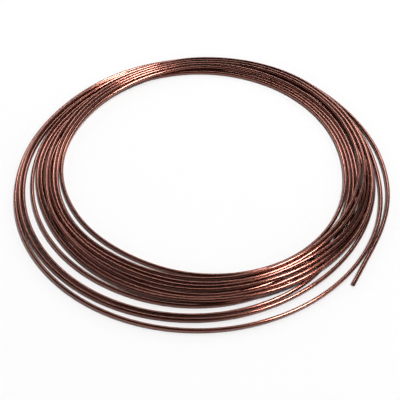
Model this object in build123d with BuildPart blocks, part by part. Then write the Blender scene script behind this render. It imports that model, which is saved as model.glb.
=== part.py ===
from build123d import *
import math
import os

# Copper tube coil: one length of small soft copper tube, wound into a flat coil that has sprung
# open a little and lies flat on the floor. Most turns lie hard against each other in one turned
# bundle, with another in a groove on top. The looser turns stand out from it at the front, each
# on its own wider circle, and run back in under their neighbours. The outermost turn ends in a
# straight, open end.
# Origin: on the floor, at the centre of the outermost turn. +Y is the back, +Z is up.
# Angles are in degrees from +X, seen from above, and grow anticlockwise.

# Tube
tube_diameter = 3.0
tube_bore = 2.0
tube_sides = 8  # flats round a turn, which meet those beside them; the straight end is truly round

# Bundle: radii are from the coil's axis to the middle of the tube
inner_turn_radius = 118.2
floor_turns = 6  # side by side on the floor
upper_turns = 1  # in the grooves between them, on top
first_upper_groove = 2  # the innermost groove that holds an upper turn, counted from 0
groove_seat = 0.05  # how far an upper turn is pressed into its groove

# Loose turns
side_gap = 0.3  # between the bundle and the outermost turn, where that comes nearest to it
entry_gap = 0.8  # between the bundle and a loose turn where that starts to dive in
bend_radius = 65.0  # where a loose turn dives in under the bundle's turns
bend_angle = 34.0

# Outermost turn: its centre is the origin, and the coil's axis lies off it by the slack
outer_slack = 12.6
outer_held_at = 80.0  # the direction in which it touches the bundle
turn_in_from = 259.0  # here it starts to close in on the bundle again
turn_in_tighter = 6.6  # by how much the radius is less from there on

# Straight end of the outermost turn
straight_length = 36.0
straight_from = 327.0

# The other loose turns outside the bundle: slack, direction held, and how far inside the bundle's
# outer turn the circle runs there
wide_turns = [
    (11.5, 59.2, 3.1),
    (10.4, 60.0, 5.6),
]

# The loose turn inside the bundle's eye, flatter than the turns beside it
flat_slack = 14.4
flat_held_at = 240.0
flat_reach = 5.7  # how far it stands inside the bundle's inner turn
flat_gap = 0.1  # between it and the bundle where its bent part ends
flat_lead = 38.0  # straight lengths at both its ends, which run out into the bundle

tube_radius = tube_diameter / 2
floor_radii = [inner_turn_radius + tube_diameter * i for i in range(floor_turns)]
upper_radii = [
    inner_turn_radius + tube_diameter * (first_upper_groove + i + 0.5) for i in range(upper_turns)
]
corner_width = tube_radius * math.tan(math.radians(180 / tube_sides))
upper_height = 2 * (tube_radius + corner_width) - groove_seat
outer_radius = floor_radii[-1] + tube_diameter + side_gap + outer_slack
turn_in_radius = outer_radius - turn_in_tighter
flat_radius = inner_turn_radius - flat_reach + flat_slack
up = Vector(0, 0, 1)


def heading(angle):
    """The level direction at an angle."""
    return Vector(math.cos(math.radians(angle)), math.sin(math.radians(angle)), 0)


def across(point, angle):
    """The upright plane across a turn, at a point and an angle of its circle."""
    return Plane(origin=point, x_dir=heading(angle), z_dir=heading(angle - 90))


def angles_at(centre, radius, distance):
    """The two angles of a turn's circle at which it lies this far from the coil's axis."""
    offset = centre - coil_axis
    off = math.hypot(offset.X, offset.Y)
    away = math.degrees(math.atan2(offset.Y, offset.X))
    spread = math.degrees(math.acos((distance**2 - radius**2 - off**2) / (2 * radius * off)))
    return away - spread, away + spread


def tube_section():
    """The outline of a turn, with one flat on the floor."""
    RegularPolygon(tube_radius, tube_sides, major_radius=False, rotation=180 / tube_sides)


def arc_of_tube(centre, radius, start, end):
    """Part of a level turn, from one angle to another."""
    with BuildSketch(across(centre + heading(start) * radius, start)) as section:
        tube_section()
    revolve(section.sketch, axis=Axis(centre, up), revolution_arc=end - start)


def dive_in(centre, radius, angle, turn):
    """The tighter bend by which a loose turn goes in under the bundle, before or after an angle."""
    bend_centre = centre + heading(angle) * (radius - bend_radius)
    arc_of_tube(bend_centre, bend_radius, min(angle, angle + turn), max(angle, angle + turn))


def straight_tube(centre, radius, angle, length):
    """A straight length that leaves a turn at an angle, onwards, or backwards if it is below 0."""
    with BuildSketch(across(centre + heading(angle) * radius, angle)) as section:
        tube_section()
    extrude(section.sketch, amount=-length)


tube_height = up * tube_radius
coil_axis = heading(outer_held_at) * outer_slack
entry_distance = floor_radii[-1] + tube_diameter + entry_gap

with BuildPart() as tube_coil:
    # the turns that lie hard against each other
    with BuildSketch(across(coil_axis, 0)):
        with Locations(*[(radius, tube_radius) for radius in floor_radii]):
            tube_section()
        with Locations(*[(radius, upper_height) for radius in upper_radii]):
            tube_section()
        with Locations((sum(upper_radii) / upper_turns, (tube_radius + upper_height) / 2)):
            Rectangle(
                upper_radii[-1] - upper_radii[0] + 2 * corner_width, upper_height - tube_radius
            )
    revolve(axis=Axis(coil_axis, up))

    # the loose turns outside them
    for slack, held_at, depth in wide_turns:
        centre = coil_axis - heading(held_at) * slack + tube_height
        radius = floor_radii[-1] - depth + slack
        start, end = angles_at(centre, radius, entry_distance)
        arc_of_tube(centre, radius, start, end)
        dive_in(centre, radius, start, -bend_angle)
        dive_in(centre, radius, end, bend_angle)

    # the loose turn inside
    flat_centre = coil_axis - heading(flat_held_at) * flat_slack + tube_height
    flat_end, flat_start = angles_at(
        flat_centre, flat_radius, inner_turn_radius - tube_diameter - flat_gap
    )
    flat_end += 360
    arc_of_tube(flat_centre, flat_radius, flat_start, flat_end)
    straight_tube(flat_centre, flat_radius, flat_start, -flat_lead)
    straight_tube(flat_centre, flat_radius, flat_end, flat_lead)

    # the outermost turn, from the straight end round to where it goes in
    arc_of_tube(tube_height, outer_radius, straight_from, 360 + turn_in_from)
    turn_in_centre = tube_height + heading(turn_in_from) * turn_in_tighter
    turn_in_to = angles_at(turn_in_centre, turn_in_radius, entry_distance)[1] + 360
    arc_of_tube(turn_in_centre, turn_in_radius, turn_in_from, turn_in_to)
    dive_in(turn_in_centre, turn_in_radius, turn_in_to, bend_angle)

    # the straight end, round and open
    end_plane = across(tube_height + heading(straight_from) * outer_radius, straight_from)
    with BuildSketch(end_plane):
        Circle(tube_radius)
    extrude(amount=straight_length)
    with BuildSketch(end_plane):
        Circle(tube_bore / 2)
    extrude(amount=straight_length, mode=Mode.SUBTRACT)

tube_coil.part.label = "tube_coil"

os.makedirs("parts", exist_ok=True)
export_step(tube_coil.part, "parts/tube_coil.step")
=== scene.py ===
import math

import bpy
import numpy as np
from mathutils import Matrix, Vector


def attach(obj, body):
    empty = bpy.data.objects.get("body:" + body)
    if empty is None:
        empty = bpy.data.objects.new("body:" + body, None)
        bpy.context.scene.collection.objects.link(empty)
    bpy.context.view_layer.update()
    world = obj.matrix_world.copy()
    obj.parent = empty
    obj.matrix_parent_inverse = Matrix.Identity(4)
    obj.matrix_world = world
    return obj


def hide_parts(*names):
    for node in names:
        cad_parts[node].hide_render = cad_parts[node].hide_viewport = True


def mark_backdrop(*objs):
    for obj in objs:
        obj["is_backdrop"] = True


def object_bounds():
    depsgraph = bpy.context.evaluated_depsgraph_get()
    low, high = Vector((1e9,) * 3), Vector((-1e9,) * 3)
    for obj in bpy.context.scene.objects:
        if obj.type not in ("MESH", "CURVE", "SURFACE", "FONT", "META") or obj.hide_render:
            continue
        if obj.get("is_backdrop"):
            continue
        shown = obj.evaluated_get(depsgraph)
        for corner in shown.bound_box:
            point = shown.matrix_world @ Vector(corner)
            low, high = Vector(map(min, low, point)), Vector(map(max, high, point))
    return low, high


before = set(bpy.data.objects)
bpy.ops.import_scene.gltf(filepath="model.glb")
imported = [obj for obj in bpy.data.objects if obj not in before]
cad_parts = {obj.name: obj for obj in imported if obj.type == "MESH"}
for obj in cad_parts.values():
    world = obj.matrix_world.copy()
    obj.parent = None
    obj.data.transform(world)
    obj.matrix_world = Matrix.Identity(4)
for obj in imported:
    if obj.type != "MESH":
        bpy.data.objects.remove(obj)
cad_low, cad_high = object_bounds()

# A flat coil of soft copper tube, which is one hollow tube from its open end to its hidden end.
# The tube's own sizes and places are in mm, and everything else is in metres.
MM = 0.001

# Tube
TUBE_RADIUS = 1.5
BORE_RADIUS = 1.0
STRAIGHT_END = 34.0  # the last of the open end, which is straight
# The outside's radius at each distance from a cut end, where the cutter has rolled it in
ROLLED_IN = [(0.0, 1.36), (0.05, 1.43), (0.14, 1.48), (0.30, 1.5)]

# Fineness of the tube's mesh
SIDES = 16
STEP = 1.5  # degrees of winding between the rings of the tube
PER_TURN = int(360 / STEP)
BORE_EVERY = 4  # the bore has one ring for this many of the outside's

# The coil's axis, from the middle of the CAD part
AXIS_X = 2.188
AXIS_Y = 11.70

# What lies across the coil at every 30 degrees from +X, anticlockwise: how far the innermost turn
# is from the coil's axis, and the turns there from the inside out. The loose turns and the edges
# of the bundle are placed as in the photograph, and the order of the turns is a likely one.
# Turn 1 is the one with the open end, and the others follow on from each other.
# +1.4 is a gap, ^6 lies in the groove between the turns beside it, and /7 on the one before.
TURNS = 12
BETWEEN_ROWS = 30.0
ACROSS = [
    (114.5, "11 7 10 4 5 12 ^6 8 ^9 +0.3 3 2 +3.7 1"),
    (115.0, "11 7 10 4 12 ^5 8 ^6 3 ^9 2 1"),
    (116.8, "11 7 10 ^4 12 8 ^5 3 ^6 2 ^9 1"),
    (118.6, "11 7 ^10 12 ^4 8 ^5 3 ^6 2 ^9 1"),
    (120.0, "11 /10 7 /4 12 /5 8 /6 +0.8 3 /9 ^2 +2.2 1"),
    (118.5, "10 ^4 11 ^5 7 ^6 12 8 9 +0.5 3 ^2 +0.5 1"),
    (118.0, "10 ^4 +2 5 11 ^6 7 12 8 9 +4.1 3 ^2 +0.1 1"),
    (114.5, "10 +3.7 4 5 ^11 +0.3 7 ^6 +0.5 12 +0.6 8 +3.3 9 +6.1 3 2 +0.3 1"),
    (112.2, "10 +2.9 4 5 11 7 6 12 8 +1.9 9 +7.3 3 2 +3 1"),
    (115.3, "10 +0.7 4 +0.2 5 +0.2 11 7 6 12 ^8 +1.8 9 +6.1 3 2 +5.2 1"),
    (118.6, "10 ^4 +1.4 5 ^11 +1.4 6 ^7 +2.6 9 /12 ^8 +5 3 +0.8 2 +7.2 1"),
    (117.2, "10 +0.6 6 ^4 +0.6 9 ^5 +1.1 3 ^11 +2 12 /7 8 2 +5.3 1"),
]
# The open end comes before the first turn's place at +X, and the hidden end is a little way past
# the last place of the last turn: an angle and a distance from the axis.
OPEN_END = [(-49.5, 162.0), (-44.0, 156.6), (-38.0, 153.2), (-30.0, 151.4), (-15.0, 149.0)]
HIDDEN_END = (336.0, 133.5)

# Settling of the turns on the floor and on each other
ROUNDS = 700
PASSES = 2  # times in each round that turns too near each other are moved apart
APART = 2 * TUBE_RADIUS * 1.012  # the least distance wanted between the middles of two turns
RISE = 2 * TUBE_RADIUS * 0.87  # how far a turn in a groove lies above those beside it
PULL = 0.06  # the share of the way to its own layer that a turn goes in the first round
WEIGHT = 0.012  # how far a turn sinks in the last round
HOLD = 0.995  # the share of its shift sideways that a turn keeps from round to round
BELOW_TOP = 0.005  # how far the tube stays below the top of the CAD part
HIGHEST = cad_high.z / MM - TUBE_RADIUS - BELOW_TOP  # the highest that the middle of the tube goes
TINY = 1e-6  # keeps a distance above zero
# Over so many rings to each side, the line of the tube is evened out
LAYER_BLEND = 4  # where it goes from one layer to another
ROUND_BLEND = 3  # in each round
LAST_BLEND = 2  # after the last round

# Camera
CAMERA_AIM = Vector((-0.00141, -0.0294, 0.0))
CAMERA_DISTANCE = 0.55
CAMERA_ELEVATION = math.radians(48.08)
CAMERA_LENS = 63.1
SENSOR_WIDTH = 36.0
NEAR_LIMIT = 0.01
FAR_LIMIT = 20.0

# Floor and lamps
FLOOR_SIZE = 6.0
FLOOR_GREY = 0.93
MIDDLE = Vector((0.0, 0.0, 0.0))  # of the coil, on the floor


def read_turns():
    """The winding angle, radius and layer of each place of the turns, in order."""
    places = [(angle, radius, 0.0) for angle, radius in OPEN_END]
    places.append((360.0 * (TURNS - 1) + HIDDEN_END[0], HIDDEN_END[1], 0.0))
    for i, (innermost, row) in enumerate(ACROSS):
        here = innermost - 2 * TUBE_RADIUS
        gap = 0.0
        in_groove = []
        for word in row.split():
            if word[0] == "+":
                gap = float(word[1:])
                continue
            angle = 360.0 * (int(word.lstrip("^/")) - 1) + BETWEEN_ROWS * i
            if word[0] == "^":
                in_groove.append(angle)
            elif word[0] == "/":
                places.append((angle, here, 1.0))
            else:
                following = here + 2 * TUBE_RADIUS + gap
                places += [(above, (here + following) / 2, 1.0) for above in in_groove]
                places.append((angle, following, 0.0))
                here, gap, in_groove = following, 0.0, []
    return np.array(sorted(places))


def smooth_curve(x, y, at):
    """A curve through the points (x, y) with no corners, read at the given places."""
    slope = np.empty_like(y)
    slope[1:-1] = (y[2:] - y[:-2]) / (x[2:] - x[:-2])
    slope[0] = (y[1] - y[0]) / (x[1] - x[0])
    slope[-1] = (y[-1] - y[-2]) / (x[-1] - x[-2])
    i = np.clip(np.searchsorted(x, at, side="right") - 1, 0, len(x) - 2)
    h = x[i + 1] - x[i]
    t = (at - x[i]) / h
    return (
        (2 * t**3 - 3 * t**2 + 1) * y[i]
        + (t**3 - 2 * t**2 + t) * h * slope[i]
        + (3 * t**2 - 2 * t**3) * y[i + 1]
        + (t**3 - t**2) * h * slope[i + 1]
    )


def evened(values, width):
    """The values evened out along the tube, over about so many rings to each side."""
    reach = 4 * width
    weight = np.exp(-0.5 * (np.arange(-reach, reach + 1) / width) ** 2)
    return np.convolve(np.pad(values, reach, mode="edge"), weight / weight.sum(), "valid")


def move_apart(radius, height, turns):
    """Moves turns that follow each other by so many apart, where they are too near."""
    rings_on = turns * PER_TURN
    if rings_on >= len(radius):
        return
    across = radius[rings_on:] - radius[:-rings_on]
    above = height[rings_on:] - height[:-rings_on]
    distance = np.sqrt(across**2 + above**2) + TINY
    push = np.maximum(APART - distance, 0) * 0.5 / distance
    radius[:-rings_on] -= push * across
    height[:-rings_on] -= push * above
    radius[rings_on:] += push * across
    height[rings_on:] += push * above


def settle(wanted, layer):
    """Lays the turns on the floor and on each other, near the radii wanted."""
    lying = TUBE_RADIUS + RISE * evened(layer, LAYER_BLEND)
    radius = wanted.copy()
    height = lying.copy()
    for step in range(ROUNDS):
        late = step / ROUNDS
        height += PULL * (1 - late) * (lying - height) - WEIGHT * late
        radius[:] = wanted + evened(radius - wanted, ROUND_BLEND) * HOLD
        height[:] = evened(height, ROUND_BLEND)
        for _ in range(PASSES):
            for turns in range(1, TURNS + 1):
                move_apart(radius, height, turns)
            np.clip(height, TUBE_RADIUS, HIGHEST, out=height)
    return evened(radius, LAST_BLEND), evened(height, LAST_BLEND)


def lengths_along(points):
    """How far along the line through the points each of them is."""
    return np.concatenate([[0], np.cumsum(np.linalg.norm(np.diff(points, axis=0), axis=1))])


def tube_path():
    """The middle of the tube, from the open end to the hidden one."""
    places = read_turns()
    winding = np.arange(places[0, 0], places[-1, 0] + STEP / 2, STEP)
    layers = np.interp(winding, places[:, 0], places[:, 2])
    radii, heights = settle(smooth_curve(places[:, 0], places[:, 1], winding), layers)
    azimuth = np.radians(winding)
    path = np.stack(
        [AXIS_X + radii * np.cos(azimuth), AXIS_Y + radii * np.sin(azimuth), heights], axis=1
    )
    run = lengths_along(path)
    last = int((run < STRAIGHT_END).sum())
    share = (run[:last] / run[last])[:, None]
    path[:last] = path[0] * (1 - share) + path[last] * share
    path[: last + 1, 2] = TUBE_RADIUS
    return path


def rings(points, radius):
    """The corners of the tube's rings, each from the bottom round."""
    tangent = np.gradient(points, axis=0)
    tangent /= np.linalg.norm(tangent, axis=1)[:, None]
    side = np.cross(tangent, [0.0, 0.0, 1.0])
    side /= np.linalg.norm(side, axis=1)[:, None]
    top = np.cross(side, tangent)
    turn = np.radians(-90 + 360 * np.arange(SIDES) / SIDES)
    radius = np.broadcast_to(radius, len(points))[:, None, None]
    around = np.cos(turn)[None, :, None] * side[:, None, :]
    around = around + np.sin(turn)[None, :, None] * top[:, None, :]
    return points[:, None, :] + radius * around


def skin(count, first):
    """The four-sided faces between so many rings of corners, from the first corner on."""
    i = np.arange(count - 1)[:, None] * SIDES
    j = np.arange(SIDES)[None, :]
    k = (j + 1) % SIDES
    return np.stack([i + j, i + SIDES + j, i + SIDES + k, i + k], axis=2).reshape(-1, 4) + first


def rim(outer, inner, here, following):
    """The four-sided faces of a cut end, between a ring of the outside and one of the bore."""
    return np.stack([outer + here, outer + following, inner + following, inner + here], axis=1)


def with_ends(path):
    """The path with the points that its rolled-in ends need, how far along it each point is,
    and the outside's radius there."""
    run = lengths_along(path)
    total = run[-1]
    from_cut = [length for length, _ in ROLLED_IN]
    added = [from_cut[1:], [total - length for length in from_cut[1:]]]
    along = np.unique(np.concatenate([run, *added]))
    points = np.stack([np.interp(along, run, path[:, k]) for k in range(3)], axis=1)
    radius = np.interp(
        np.minimum(along, total - along), from_cut, [radius for _, radius in ROLLED_IN]
    )
    return points, along, radius


def add_uv(mesh, faces, along, around):
    """Maps the surface by metres along the tube and by the share of the way round it."""
    u = along[faces].reshape(-1)
    v = around[faces]
    over_seam = v.max(axis=1, keepdims=True) - v > 0.5
    v = np.where(over_seam, v + 1.0, v).reshape(-1)
    layer = mesh.uv_layers.new(name="along_and_around")
    layer.data.foreach_set("uv", np.stack([u, v], axis=1).astype(np.float32).reshape(-1))


def tube_mesh(path):
    """An open-ended hollow tube along the path, with its cut ends a little rolled in."""
    points, along, radius = with_ends(path)
    count = len(points)
    in_bore = np.unique(np.concatenate([np.arange(0, count, BORE_EVERY), [count - 1]]))
    outside = rings(points, radius)
    bore = rings(points, BORE_RADIUS)[in_bore]
    corners = np.concatenate([outside.reshape(-1, 3), bore.reshape(-1, 3)]) * MM

    first_in_bore = count * SIDES
    last_ring = first_in_bore - SIDES
    last_ring_in_bore = len(corners) - SIDES
    here = np.arange(SIDES)
    following = (here + 1) % SIDES
    faces = np.concatenate(
        [
            skin(count, 0),
            skin(len(in_bore), first_in_bore)[:, ::-1],
            rim(0, first_in_bore, here, following),
            rim(last_ring, last_ring_in_bore, following, here),
        ]
    )

    mesh = bpy.data.meshes.new("tube")
    mesh.from_pydata(corners.tolist(), [], faces.tolist())
    along_corners = np.repeat(np.concatenate([along, along[in_bore]]), SIDES) * MM
    around_corners = np.tile(here, count + len(in_bore)) / SIDES
    add_uv(mesh, faces, along_corners, around_corners)
    mesh.polygons.foreach_set("use_smooth", np.ones(len(faces), bool))
    mesh.update()
    return mesh


def node(tree, kind, inputs=(), **settings):
    """A new shader node with these values on its inputs and these settings."""
    made = tree.nodes.new(kind)
    for name, value in settings.items():
        setattr(made, name, value)
    for key, value in dict(inputs).items():
        made.inputs[key].default_value = value
    return made


def copper():
    """Bare annealed copper, browned by handling, under a thin clear film."""
    material = bpy.data.materials.new("copper")
    material.use_nodes = True
    tree = material.node_tree
    tree.nodes.clear()
    link = tree.links.new
    out = node(tree, "ShaderNodeOutputMaterial")
    shader = node(
        tree,
        "ShaderNodeBsdfPrincipled",
        {"Metallic": 1.0, "Coat Weight": 0.7, "Coat Roughness": 0.1, "Coat IOR": 1.5},
    )
    link(shader.outputs["BSDF"], out.inputs["Surface"])
    uv = node(tree, "ShaderNodeUVMap", uv_map="along_and_around")

    def stretched(along, around, detail=3.0, rough=0.55):
        """Noise with so many grains to a metre along the tube and to its girth."""
        scale = node(tree, "ShaderNodeVectorMath", operation="MULTIPLY")
        scale.inputs[1].default_value = (along, around, 1.0)
        link(uv.outputs["UV"], scale.inputs[0])
        noise = node(
            tree, "ShaderNodeTexNoise", {"Scale": 1.0, "Detail": detail, "Roughness": rough}
        )
        link(scale.outputs["Vector"], noise.inputs["Vector"])
        return noise.outputs["Fac"]

    def ramp(value, low, high, stops):
        """Colours from the first stop to the last, as the value goes from low to high."""
        spread = node(tree, "ShaderNodeMapRange", {"From Min": low, "From Max": high})
        link(value, spread.inputs["Value"])
        colours = node(tree, "ShaderNodeValToRGB")
        colours.color_ramp.elements[0].color = (*stops[0], 1)
        colours.color_ramp.elements[1].color = (*stops[-1], 1)
        for i, stop in enumerate(stops[1:-1], 1):
            colours.color_ramp.elements.new(i / (len(stops) - 1)).color = (*stop, 1)
        link(spread.outputs["Result"], colours.inputs["Fac"])
        return colours.outputs["Color"]

    def multiplied(base, over, amount):
        """One colour darkened by another, by an amount from 0 to 1."""
        mix = node(tree, "ShaderNodeMix", data_type="RGBA", blend_type="MULTIPLY")
        mix.inputs["Factor"].default_value = amount
        link(base, mix.inputs["A"])
        link(over, mix.inputs["B"])
        return mix.outputs["Result"]

    tarnish = stretched(9.0, 0.8)
    blotches = stretched(16.0, 1.6, detail=2.0)
    streaks = stretched(3.0, 24.0, detail=2.0, rough=0.6)
    scuffs = stretched(40.0, 5.0, detail=2.0)
    dents = stretched(30.0, 1.0, detail=1.0)

    dark = (0.18, 0.053, 0.034)
    brown = (0.26, 0.086, 0.057)
    bright = (0.36, 0.136, 0.094)
    stain = (0.75, 0.70, 0.70)
    drawn_line = (0.8, 0.78, 0.78)
    clean = (1.0, 1.0, 1.0)

    tone = ramp(tarnish, 0.32, 0.68, [dark, brown, bright])
    stained = multiplied(tone, ramp(blotches, 0.35, 0.65, [stain, clean]), 0.8)
    lined = multiplied(stained, ramp(streaks, 0.3, 0.7, [drawn_line, clean]), 0.5)
    link(lined, shader.inputs["Base Color"])

    rough = node(
        tree,
        "ShaderNodeMapRange",
        {"From Min": 0.3, "From Max": 0.7, "To Min": 0.13, "To Max": 0.19},
    )
    link(scuffs, rough.inputs["Value"])
    link(rough.outputs["Result"], shader.inputs["Roughness"])

    lines = node(tree, "ShaderNodeBump", {"Strength": 0.2, "Distance": 0.0000004})
    link(streaks, lines.inputs["Height"])
    hollows = node(tree, "ShaderNodeBump", {"Strength": 0.2, "Distance": 0.00001})
    link(dents, hollows.inputs["Height"])
    link(lines.outputs["Normal"], hollows.inputs["Normal"])
    link(hollows.outputs["Normal"], shader.inputs["Normal"])
    return material


def floor_material():
    """Plain pale grey, nearly matt."""
    material = bpy.data.materials.new("floor")
    material.use_nodes = True
    shader = material.node_tree.nodes["Principled BSDF"]
    shader.inputs["Base Color"].default_value = (FLOOR_GREY, FLOOR_GREY, FLOOR_GREY, 1)
    shader.inputs["Roughness"].default_value = 0.7
    shader.inputs["Specular IOR Level"].default_value = 0.2
    return material


def area_light(name, place, size, power):
    """A white lamp of this size, aimed at the middle of the coil."""
    data = bpy.data.lights.new(name, "AREA")
    data.shape = "RECTANGLE"
    data.size, data.size_y = size
    data.energy = power
    lamp = bpy.data.objects.new(name, data)
    bpy.context.scene.collection.objects.link(lamp)
    lamp.location = place
    lamp.rotation_euler = (MIDDLE - Vector(place)).to_track_quat("-Z", "Y").to_euler()
    return lamp


def far_light(name, direction, spread, strength):
    """A lamp so far off that it lights the whole floor alike, as many degrees across."""
    data = bpy.data.lights.new(name, "SUN")
    data.angle = math.radians(spread)
    data.energy = strength
    lamp = bpy.data.objects.new(name, data)
    bpy.context.scene.collection.objects.link(lamp)
    lamp.rotation_euler = Vector(direction).to_track_quat("Z", "Y").to_euler()
    return lamp


def studio_world():
    """Pale walls under a dim ceiling."""
    world = bpy.data.worlds.new("studio")
    bpy.context.scene.world = world
    world.use_nodes = True
    tree = world.node_tree
    tree.nodes.clear()
    link = tree.links.new
    out = node(tree, "ShaderNodeOutputWorld")
    place = node(tree, "ShaderNodeTexCoord")
    direction = node(tree, "ShaderNodeSeparateXYZ")
    link(place.outputs["Generated"], direction.inputs["Vector"])
    strength = node(
        tree,
        "ShaderNodeMapRange",
        {"From Min": 0.2, "From Max": 0.55, "To Min": 0.8, "To Max": 0.03},
        interpolation_type="SMOOTHSTEP",
    )
    link(direction.outputs["Z"], strength.inputs["Value"])
    room = node(tree, "ShaderNodeBackground", {"Color": (1, 1, 1, 1)})
    link(strength.outputs["Result"], room.inputs["Strength"])
    link(room.outputs["Background"], out.inputs["Surface"])


def add_camera():
    """The scene's camera, at the photograph's viewing angle."""
    data = bpy.data.cameras.new("camera")
    data.sensor_width = SENSOR_WIDTH
    data.lens = CAMERA_LENS
    data.clip_start = NEAR_LIMIT
    data.clip_end = FAR_LIMIT
    camera = bpy.data.objects.new("camera", data)
    bpy.context.scene.collection.objects.link(camera)
    bpy.context.scene.camera = camera
    back = Vector((0.0, -math.cos(CAMERA_ELEVATION), math.sin(CAMERA_ELEVATION)))
    camera.location = CAMERA_AIM + back * CAMERA_DISTANCE
    camera.rotation_euler = (-back).to_track_quat("-Z", "Y").to_euler()


tube = bpy.data.objects.new("copper_tube", tube_mesh(tube_path()))
bpy.context.scene.collection.objects.link(tube)
tube.data.materials.append(copper())
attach(tube, "root")
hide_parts("tube_coil")

bpy.ops.mesh.primitive_plane_add(size=FLOOR_SIZE, location=MIDDLE)
floor = bpy.context.object
floor.name = "floor"
floor.data.materials.append(floor_material())
floor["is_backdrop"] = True

studio_world()
key = far_light("key", direction=(0.88, 0.12, 2.22), spread=14.0, strength=2.8)
window = area_light("window", place=(0.0, 1.60, 1.76), size=(0.9, 0.22), power=6.0)
low = area_light("low", place=(1.4, 2.0, 0.95), size=(1.6, 0.6), power=5.0)
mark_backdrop(key, window, low)

add_camera()

bpy.context.scene.view_settings.view_transform = "Standard"

low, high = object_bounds()
